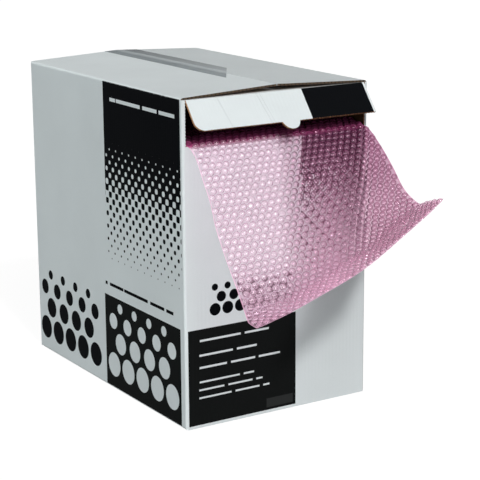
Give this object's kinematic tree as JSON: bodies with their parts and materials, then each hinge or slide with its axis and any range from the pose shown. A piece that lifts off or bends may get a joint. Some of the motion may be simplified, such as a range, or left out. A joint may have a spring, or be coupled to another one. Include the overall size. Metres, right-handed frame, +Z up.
{
  "type": "bubble wrap roll in a dispenser box",
  "caption": "Corrugated box holding a wound roll of bubble film, with a hinged tear-out flap over a front slot and the film's free end drawn out over the edge.",
  "frame": {"origin": "centre of the carton's bottom face, on the floor", "axes": "+X to the right along the slot, +Y from the front to the back, +Z up"},
  "size_m": [0.3361, 0.7712, 0.4913],
  "materials": {
    "printed_board": "pale grey printed liner with black print, kraft inside",
    "white_board": "white printed liner with a black band, kraft inside",
    "tape": "clear greyish packing tape, glossy",
    "core_board": "spiral wound kraft paper tube",
    "bubble_film": "translucent pink polyethylene film, glossy bubbles"
  },
  "bodies": {
    "carton": {"carton": "printed_board", "top_tape": "tape", "core_tube": "core_board", "bubble_film": "bubble_film"},
    "flap": {"dispenser_flap": "white_board"}
  },
  "joints": [
    {"name": "flap_hinge", "type": "hinge", "parent": "carton", "child": "flap", "pos_m": [0, -0.2435, 0.4795], "axis": [1, 0, 0], "range_deg": [-142, 27]}
  ]
}
